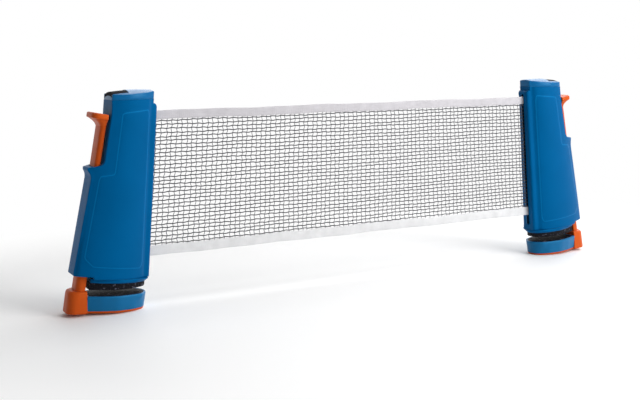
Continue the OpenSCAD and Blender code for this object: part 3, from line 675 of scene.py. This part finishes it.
def top_cap(side):
    b = Build()
    rows = []
    end = 1.7                       # rounding of the net-side end
    for d in (0.0, 0.12, 0.45, 1.0, end):
        k = math.sqrt(max(0, end ** 2 - (end - d) ** 2))
        rows.append(cap_section(STEP + d, end - k, 1.4 * (1 - k / end), False))
    rows += [cap_section(u, 0, 0, False) for u in (8, 12, 16, 20, 24, 27.5, 30.7, 30.95)]
    rows.append(cap_section(INLAY_U, 0, 0.2, False))
    rows += [cap_section(u, 0, 0, True) for u in (INLAY_U, 35, 39, 43)]
    for d in (1.0, 0.55, 0.2, 0.0):
        k = math.sqrt(max(0, 1 - (1 - d) ** 2))
        rows.append(cap_section(NECK_U - d, 1 - k, 0.8 * (1 - k), True))
    b.loft([in_post(side, rw) for rw in rows])
    ob = mesh_object(f"{side}_cap", b.v, b.f, [CAPBLUE, RECESS_SHADE], b.m, 35)
    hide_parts(f"{side}_top_cap")
    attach(ob, f"{side}_post")
    # inlay: a softly crowned dark plate
    b = Build()
    u0, u1, w, sunk = 31.12, NECK_U - 0.5, 12.8, 0.5
    loop = resample(fillet_poly([(u0, -w), (u1, -w), (u1, w), (u0, w)], [1.9, 1.0, 1.0, 1.9], 5), 2.0)
    lp = np.array(loop)
    nn = normals_2d(loop)
    rows = [[(u, v, seam(u) + 1.2) for u, v in loop]]
    for d, s in ((0, 0.9), (0.15, 0.35), (0.5, 0.08), (1.0, 0)):
        rows.append([(u, v, crown_z(u, v) - sunk - s) for u, v in lp - nn * d])
    c = np.array([(u0 + u1) / 2, 0])
    for s in (0.75, 0.45, 0.1):
        rows.append([(u, v, crown_z(u, v) - sunk) for u, v in c + (lp - nn - c) * s])
    b.loft([in_post(side, rw) for rw in rows])
    ob = mesh_object(f"{side}_inlay", b.v, b.f, [INLAY], b.m, 40)
    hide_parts(f"{side}_cap_inlay")
    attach(ob, f"{side}_post")


# ---------------------------------------------------------------- jaws
# Circles whose hull makes the jaw's belly: place from its middle, and how much smaller than its half width
BELLY = ((-17, 0.2), (-10, 0.0), (10, 0.3), (19, 1.6))


def jaw_loop(inset, end, nose=0.0):
    """The jaw's plan, as 96 points from its net side; nose draws in the net-side end."""
    pts = []
    ev = JAW_W / 2 - JAW_CORNER - 4.5
    mid = (JAW_U + BLOCK_U) / 2
    for s in (-1, 1):
        pts += arc((JAW_U + JAW_CORNER + nose, s * ev), JAW_CORNER - inset, 0, 360, 48)
    for x, k in BELLY:
        pts += arc((mid + x, 0), JAW_W / 2 - k - inset - x * x / 60, 0, 360, 72)
    pts += arc((mid, 0), JAW_W / 2 - inset, 0, 360, 96)
    h = JAW_ROOT / 2 - inset
    pts += [(end, -h), (end, h)]
    pts = [p for p in pts if p[0] <= end + 1e-6]
    hull = [pts[i] for i in convex_hull_2d([Vector(p) for p in pts])]
    area = sum(p[0] * q[1] - q[0] * p[1] for p, q in zip(hull, hull[1:] + hull[:1]))
    if area < 0:
        hull = hull[::-1]
    # start on the net side and space the points evenly
    k = min(range(len(hull)), key=lambda i: (hull[i][0], hull[i][1]))
    hull = hull[k:] + hull[:k]
    p = np.array(hull + [hull[0]])
    d = np.concatenate([[0], np.cumsum(np.linalg.norm(np.diff(p, axis=0), axis=1))])
    corners = [d[i] for i in range(len(d) - 1) if abs(p[i][0] - end) < 1e-6]
    t = np.linspace(0, d[-1], 97)[:-1]
    for c in corners:
        t[np.argmin(abs(t - c))] = c
    return [(float(np.interp(x, d, p[:, 0])), float(np.interp(x, d, p[:, 1]))) for x in t]


def upper_jaw(side):
    b = Build()
    end = BLOCK_U - 2.0

    def row(inset, z, nose):
        return in_post(side, [(u, v, z) for u, v in jaw_loop(UPPER_IN + inset, end, nose)])

    z0, z1 = BASE_Z - LIP_T, BASE_Z
    b.loft([row(3, z0 + 0.1, 4.5), row(1.2, z0, 4.5), row(0.5, z0 + 0.15, 4.5), row(0.15, z0 + 0.5, 3.6),
            row(-0.3, z0 + 1.2, 2.2), row(-0.7, z1 - 0.8, -3.0), row(-0.4, z1 - 0.05, -3.2)])
    ob = mesh_object(f"{side}_upper_plate", b.v, b.f, [BLUE], b.m, 40)
    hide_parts(f"{side}_upper_jaw")
    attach(ob, f"{side}_post")
    # pad: its underside is parallel to the lower jaw
    b = Build()
    tilt = math.tan(LEAN - FOOT_TILT)
    flat = UPPER_PAD / math.cos(LEAN - FOOT_TILT) - PIVOT * math.sin(LEAN)

    def pad(inset, up, nose=3.0):
        """A loop at a height above the pad's underside, or against the plate."""
        return in_post(side, [(u, v, z0 + 0.05 if up is None else flat + up - (u - PIVOT) * tilt)
                              for u, v in jaw_loop(UPPER_IN + UPPER_PAD_IN + inset, end + 0.6, nose)])

    b.loft([pad(6, 0), pad(0.8, 0), pad(0.25, 0.2), pad(0, 0.7), pad(0, None, 6.0)])
    ob = mesh_object(f"{side}_upper_rubber", b.v, b.f, [RUBBER], b.m, 40)
    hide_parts(f"{side}_upper_jaw_pad")
    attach(ob, f"{side}_post")


def lower_jaw(side):
    b = Build()

    def row(inset, z, nose=0.0):
        return on_foot(side, [(u, v, z) for u, v in jaw_loop(inset, BLOCK_U - 0.05, nose)])

    def pan(inset, z):
        return on_foot(side, [(u, v, z) for u, v in jaw_loop(inset, BLOCK_U - inset)])

    # from the sole up the slanted wall, over the rim and down inside it
    b.loft([row(JAW_DRAFT + 0.5, SOLE + 0.05, SLANT), row(JAW_DRAFT + 0.1, SOLE + 0.15, SLANT),
            row(JAW_DRAFT - 0.1, SOLE + 0.7, SLANT * 0.95), row(1.15, 7.0, SLANT * 0.75),
            row(0.8, 10.0, SLANT * 0.42), row(0.4, 12.6, SLANT * 0.12), row(0.1, RIM_Z - 2.4),
            row(0.0, RIM_Z - 1.5), row(0.1, RIM_Z - 0.75), row(0.45, RIM_Z - 0.2), row(1.0, RIM_Z),
            pan(RIM_W - 0.5, RIM_Z), pan(RIM_W - 0.1, RIM_Z - 0.25), pan(RIM_W, RIM_Z - 0.7),
            pan(RIM_W, RIM_Z - 3)])
    ob = mesh_object(f"{side}_jaw_tray", b.v, b.f, [JAWBLUE], b.m, 50)
    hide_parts(f"{side}_lower_jaw")
    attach(ob, f"{side}_clamp")
    b = Build()
    z = PAD_TOP
    rows = [pan(RIM_W + 0.3, RIM_Z - 2.9), pan(RIM_W + 0.3, z - 0.9), pan(RIM_W + 0.5, z - 0.35),
            pan(RIM_W + 1.0, z - 0.08)]
    rows += [pan(RIM_W + d - 0.3, z) for d in (3.5, 5.5, 7.5, 9.5)]
    b.loft(rows)
    ob = mesh_object(f"{side}_lower_rubber", b.v, b.f, [RUBBER], b.m, 40)
    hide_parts(f"{side}_lower_jaw_pad")
    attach(ob, f"{side}_clamp")


# ---------------------------------------------------------------- slider
BAR_LOW, BAR_TOP, STRAP_TOP = 14.0, 128.0, 178.0    # along the slider
BAR_ROUND, STRAP_ROUND, BLOCK_ROUND = 6.0, 3.8, 9.5     # of their outer corners
LUG_IN, LUG_W, LUG_LOW, LUG_TOP = 22.7, 6.5, 125.5, 129.0


def box_loop(x0, x1, h, r_in, r_out, seg=6):
    """A rectangle of half width h with rounded corners, smaller ones on its inner side."""
    return fillet_poly([(x0, -h), (x1, -h), (x1, h), (x0, h)], [r_in, r_out, r_out, r_in], seg)


def slider(side):
    b = Build()
    hb = BAR_W / 2

    def slide_row(loop, h):
        return in_post(side, from_slide([(x, v, h) for x, v in loop]))

    def bar_row(inner, h):
        return slide_row(box_loop(inner, 0, hb, 1.2, BAR_ROUND), h)

    def strap_row(h):
        return slide_row(box_loop(-STRAP_T, 0, hb, 0.8, STRAP_ROUND), h)

    b.loft([bar_row(-BAR_T, BAR_LOW), bar_row(-BAR_T, BAR_TOP), bar_row(-BAR_T + 1, BAR_TOP + 1)])
    b.loft([strap_row(BAR_TOP), strap_row(STRAP_TOP)])
    # thumb flange with its flared gusset, as one lofted form
    z1, w = SLIDER_TOP, FLANGE_W / 2
    zf = z1 - FLANGE_T
    rows = []
    for t in np.linspace(0, 1, 12):
        e = t ** 2.1
        out = (FLANGE_OUT - 1.3) * e
        h = zf - GUSSET + (GUSSET - 0.1) * t
        ww = hb - 0.02 + (w - 0.9 - hb) * e
        rows.append(slide_row(box_loop(-STRAP_T, max(out, 0.0), ww, 0.6, STRAP_ROUND + 2.6 * e), h))
    # its rim: how far the outline stands out, and the height
    rim = [(-0.5, 0.0), (-0.12, 0.35), (0.0, 0.95), (0.0, FLANGE_T - 1.5), (-0.3, FLANGE_T - 0.6),
           (-0.9, FLANGE_T - 0.12), (-1.7, FLANGE_T)]
    for d, h in rim:
        rows.append(slide_row(box_loop(-STRAP_T - d * 0.3, FLANGE_OUT + d, w + d, 0.6, 6.8 + d * 0.5), zf + h))
    rows.append(slide_row(box_loop(-STRAP_T + 1.5, FLANGE_OUT - 3.5, w - 3.5, 0.6, 5.0), z1 - 0.12))
    rows.append(slide_row(box_loop(-STRAP_T + 4, FLANGE_OUT - 6.0, w - 9, 0.4, 0.8), z1 - 0.3))
    b.loft(rows)
    # foot block: height, and how far its outer face and its sides draw in
    w0 = JAW_ROOT / 2
    rows = []
    prof = [(0.0, 0.6, 0.6), (0.35, 0.15, 0.15), (1.0, 0.0, 0.0), (FOOT_Z - 3.6, 1.9, 0.7),
            (FOOT_Z - 1.9, 2.3, 0.95), (FOOT_Z - 0.8, 2.8, 1.4), (FOOT_Z - 0.2, 3.7, 2.2), (FOOT_Z, 4.9, 3.3)]
    for z, du, dv in prof:
        inner = BLOCK_U + (0.0 if z < FOOT_Z - 1 else 0.4 * (z - FOOT_Z + 1))
        loop = box_loop(inner, FOOT_U - du, w0 - dv, 0.5, BLOCK_ROUND, 10)
        rows.append(on_foot(side, [(u, v, z) for u, v in loop]))
    b.loft(rows)

    def sole(inset, z):
        return on_foot(side, [(u, v, z) for u, v in jaw_loop(inset, BLOCK_U, SLANT)])

    i = JAW_DRAFT + 0.15
    b.loft([sole(i + 1.6, 0.0), sole(i + 0.9, 0.15), sole(i + 0.45, 0.8), sole(i + 0.15, 2.2),
            sole(i, SOLE - 0.3), sole(i + 0.3, SOLE)])
    # lug on the clamp spring
    lug = box_loop(-LUG_IN, -1, LUG_W, 1.5, 0.5)
    b.loft([slide_row(lug, LUG_LOW), slide_row(lug, LUG_TOP)])
    ob = mesh_object(f"{side}_lever", b.v, b.f, [ORANGE], b.m, 40)
    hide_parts(f"{side}_slider")
    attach(ob, f"{side}_clamp")


for side in ("left", "right"):
    shell(side, False)
    shell(side, True)
    top_cap(side)
    upper_jaw(side)
    lower_jaw(side)
    slider(side)

# ---------------------------------------------------------------- net
NET_LOW, NET_HIGH = (NET_TOP - NET_H) * math.cos(LEAN), NET_TOP * math.cos(LEAN)
INTO_LEFT, INTO_RIGHT = 8.5, 3.5    # reach into the posts
ROWS, COLUMNS = 32, 84              # of the mesh
# Section of a hem: share of its width, and half thickness. It is thicker along the fold
HEM_SECTION = [(0.0, 0.35), (0.04, 0.55), (0.2, 0.6), (0.5, 0.55), (0.8, 0.6), (0.96, 0.55), (1.0, 0.35)]


def end_x(z):
    """Where the net meets the leaning posts."""
    return HALF_GAP - z * math.tan(LEAN)


def sag(x, z):
    """Slow ripples of the slack net and a wrinkle near the right post, in millimetres out of its plane."""
    k = math.sin(math.pi * (x + 250) / 500) if abs(x) < 250 else 0
    y = 0.5 * math.sin(x / 41.0 + z / 37.0) + 0.35 * math.sin(x / 17.0 - z / 23.0 + 1.3)
    y += 1.6 * math.exp(-((x - 205) / 16) ** 2 - ((z - 62) / 12) ** 2) * math.sin((x - 205) / 4.5)
    return y * min(1, 3 * k)


def thread(b, line, w, t, mat):
    """A flat-oval thread along a line of (x, z) points; w across in the net's plane, t out of it."""
    p = np.array(line)
    d = np.gradient(p, axis=0)
    d /= np.linalg.norm(d, axis=1, keepdims=True)
    n = np.stack([-d[:, 1], d[:, 0]], 1)
    rows = []
    for (x, z), (nx, nz) in zip(p, n):
        y = sag(x, z)
        row = []
        for k in range(6):
            a = math.pi / 3 * k
            row.append(((x + nx * w * math.cos(a)) * MM, (y + t * math.sin(a)) * MM,
                        (z + nz * w * math.cos(a)) * MM))
        rows.append(row)
    b.loft(rows, True, (True, True), mat)


def mesh_threads(zb, zt):
    """Level threads, then upright ones, each with its own slow waver."""
    b = Build()
    for i in range(ROWS):
        z = zb + (zt - zb) * (i + 0.5) / ROWS
        x1 = end_x(z)
        xs = np.linspace(-x1 - INTO_LEFT, x1 + INTO_RIGHT, 260)
        ph = rng.uniform(0, 6.28)
        zz = z + 0.32 * np.sin(xs * 2 * math.pi / (2 * 2 * x1 / COLUMNS) + math.pi * (i % 2)) \
            + 0.3 * np.sin(xs / 31 + ph) + 0.25 * np.sin(xs / 12.3 + 2 * ph)
        thread(b, list(zip(xs, zz)), 0.52, 0.42, 0)
    for j in range(COLUMNS + 1):
        f = (j + 0.5) / (COLUMNS + 1)
        zs = np.linspace(zb, zt, 2 * ROWS + 1)
        ph = rng.uniform(0, 6.28)
        xs = [(-end_x(z) + f * 2 * end_x(z)) + 0.55 * (1 if k % 4 < 2 else -1) * (1 if k % 2 else 0.4)
              + 0.5 * math.sin(z / 17 + ph) for k, z in enumerate(zs)]
        thread(b, list(zip(xs, zs)), 0.36, 0.34, 1)
    return b


def hem(z0, z1):
    """A folded tape between two heights."""
    b = Build()
    rows = []
    for t in np.linspace(-1, 1, 201):
        row = []
        for sgn in (1, -1):
            for f, th in (HEM_SECTION if sgn > 0 else HEM_SECTION[::-1]):
                z = z0 + (z1 - z0) * f
                x = t * end_x(z) + (INTO_RIGHT if t > 0.999 else -INTO_LEFT if t < -0.999 else 0)
                waver = 0.35 * math.sin(x / 23.0 + z0) + 0.2 * math.sin(x / 9.0)
                row.append((x * MM, (sag(x, z) - sgn * th) * MM, (z + waver) * MM))
        rows.append(row)
    b.loft(rows)
    return b


def net():
    zb, zt = NET_LOW + BOTTOM_HEM - 0.6, NET_HIGH - TOP_HEM + 0.6
    b = mesh_threads(zb, zt)
    ob = mesh_object("net_threads", b.v, b.f, [THREAD, THREAD2], b.m, 60)
    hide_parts("net_mesh")
    parts = [ob]
    for name, z0, z1, mat in (("net_top_hem", NET_HIGH - TOP_HEM, NET_HIGH, TAPE),
                              ("net_bottom_hem", NET_LOW, NET_LOW + BOTTOM_HEM, HEM_TAPE_PAINTED_LIGHT)):
        b = hem(z0, z1)
        h = mesh_object(name + "_tape", b.v, b.f, [mat], b.m, 60)
        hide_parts(name)
        parts.append(h)
    for o in parts:
        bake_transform(o)


net()

# ---------------------------------------------------------------- CAD nodes that stay
for mat, nodes in ((STEEL, ("left_shell_screws", "right_shell_screws", "left_jaw_screws", "right_jaw_screws",
                            "reel_axle", "net_anchor_rod")),
                   (SPRING, ("left_clamp_spring", "right_clamp_spring", "left_spring_rod", "right_spring_rod",
                             "drive_spring")),
                   (BLACK, ("reel_tube", "reel_lower_hub", "reel_upper_hub", "drive_spring_cup")),
                   (ROLL, ("wound_net",)), (TAPE, ("net_end_sleeve",))):
    for n in nodes:
        D.objects[n].data.materials.clear()
        D.objects[n].data.materials.append(mat)


# ---------------------------------------------------------------- stage, light, camera
def seen_white(nt):
    """1 for the rays that see the white background: camera, glossy and transmission rays."""
    path = node(nt, "ShaderNodeLightPath")
    out = path.outputs["Is Camera Ray"]
    for name in ("Is Glossy Ray", "Is Transmission Ray"):
        either = node(nt, "ShaderNodeMath", operation="MAXIMUM")
        nt.links.new(out, either.inputs[0])
        nt.links.new(path.outputs[name], either.inputs[1])
        out = either.outputs["Value"]
    return out


# Away from the object the floor goes over into the white of the background, from 0.55 to 1 of this oval, in metres
FADE_X, FADE_Y, FADE_FROM, FADE_TO = 0.75, 0.5, 0.55, 1.0
FLOOR_LOW = 0.75                    # the floor's tone for other rays, so that it sends less light up
fm, fnt, fb = material("floor", (1.0, 1.0, 1.0), 0.6, 0.1)
geo = node(fnt, "ShaderNodeNewGeometry")
off = node(fnt, "ShaderNodeVectorMath", operation="MULTIPLY")
off.inputs[1].default_value = (1 / FADE_X, 1 / FADE_Y, 0)
dist = node(fnt, "ShaderNodeVectorMath", operation="LENGTH")
far = node(fnt, "ShaderNodeMapRange", interpolation_type="SMOOTHSTEP")
far.inputs["From Min"].default_value, far.inputs["From Max"].default_value = FADE_FROM, FADE_TO
seen = seen_white(fnt)
both = node(fnt, "ShaderNodeMath", operation="MULTIPLY")
white = node(fnt, "ShaderNodeEmission")
mix = node(fnt, "ShaderNodeMixShader")
for a, c in ((span(fnt, seen, FLOOR_LOW, 1.0), fb.inputs["Base Color"]),
             (geo.outputs["Position"], off.inputs[0]), (off.outputs["Vector"], dist.inputs[0]),
             (dist.outputs["Value"], far.inputs["Value"]), (far.outputs["Result"], both.inputs[0]),
             (seen, both.inputs[1]), (both.outputs["Value"], mix.inputs["Fac"]),
             (fb.outputs["BSDF"], mix.inputs[1]), (white.outputs["Emission"], mix.inputs[2]),
             (mix.outputs["Shader"], fnt.nodes["Material Output"].inputs["Surface"])):
    fnt.links.new(a, c)
me = D.meshes.new("floor")
me.from_pydata([(-9, -6, 0), (9, -6, 0), (9, 14, 0), (-9, 14, 0)], [], [(0, 1, 2, 3)])
me.materials.append(fm)
floor = D.objects.new("floor", me)
bpy.context.scene.collection.objects.link(floor)

# name, place, target, sides, watts
LAMPS = (("key", (0.7, -1.2, 0.65), (0.0, 0, 0.1), (0.8, 1.0), 17.0),
         ("back", (1.3, 1.6, 1.4), (0, 0, 0.1), (2.6, 1.8), 24),
         ("top", (0.9, -0.1, 1.8), (0.1, 0, 0), (2.0, 2.0), 28))
for name, loc, target, size, power in LAMPS:
    li = D.lights.new(name, "AREA")
    li.shape, li.size, li.size_y, li.energy = "RECTANGLE", size[0], size[1], power
    ob = D.objects.new(name, li)
    ob.location = loc
    ob.rotation_euler = (Vector(target) - Vector(loc)).to_track_quat("-Z", "Y").to_euler()
    bpy.context.scene.collection.objects.link(ob)

FILL = 0.14                         # the world's light on the object; the rays that see the background get 1
w = D.worlds.new("world")
bpy.context.scene.world = w
w.use_nodes = True
wn = w.node_tree
bg = wn.nodes["Background"]
bg.inputs["Color"].default_value = (1, 1, 1, 1)
bg.inputs["Strength"].default_value = FILL
bg2 = node(wn, "ShaderNodeBackground", Color=(1, 1, 1, 1), Strength=1.0)
mx = node(wn, "ShaderNodeMixShader")
wn.links.new(seen_white(wn), mx.inputs["Fac"])
wn.links.new(bg.outputs["Background"], mx.inputs[1])
wn.links.new(bg2.outputs["Background"], mx.inputs[2])
wn.links.new(mx.outputs["Shader"], wn.nodes["World Output"].inputs["Surface"])

# The camera as fitted to the photograph's outline points
CAMERA_AT, FOCAL, SENSOR = (-0.562, -0.941, 0.2535), 56.25, 36.0
YAW, PITCH, ROLL_CAM = math.radians(28.7), math.radians(8.6), math.radians(-0.4)
cam = D.cameras.new("camera")
cam.lens, cam.sensor_width, cam.clip_start = FOCAL, SENSOR, 0.01
co = D.objects.new("camera", cam)
look = Vector((math.sin(YAW) * math.cos(PITCH), math.cos(YAW) * math.cos(PITCH), -math.sin(PITCH)))
co.matrix_world = Matrix.Translation(CAMERA_AT) @ look.to_track_quat("-Z", "Y").to_matrix().to_4x4() \
    @ Matrix.Rotation(ROLL_CAM, 4, "Z")
bpy.context.scene.collection.objects.link(co)
bpy.context.scene.camera = co
bpy.context.scene.view_settings.view_transform = "Standard"
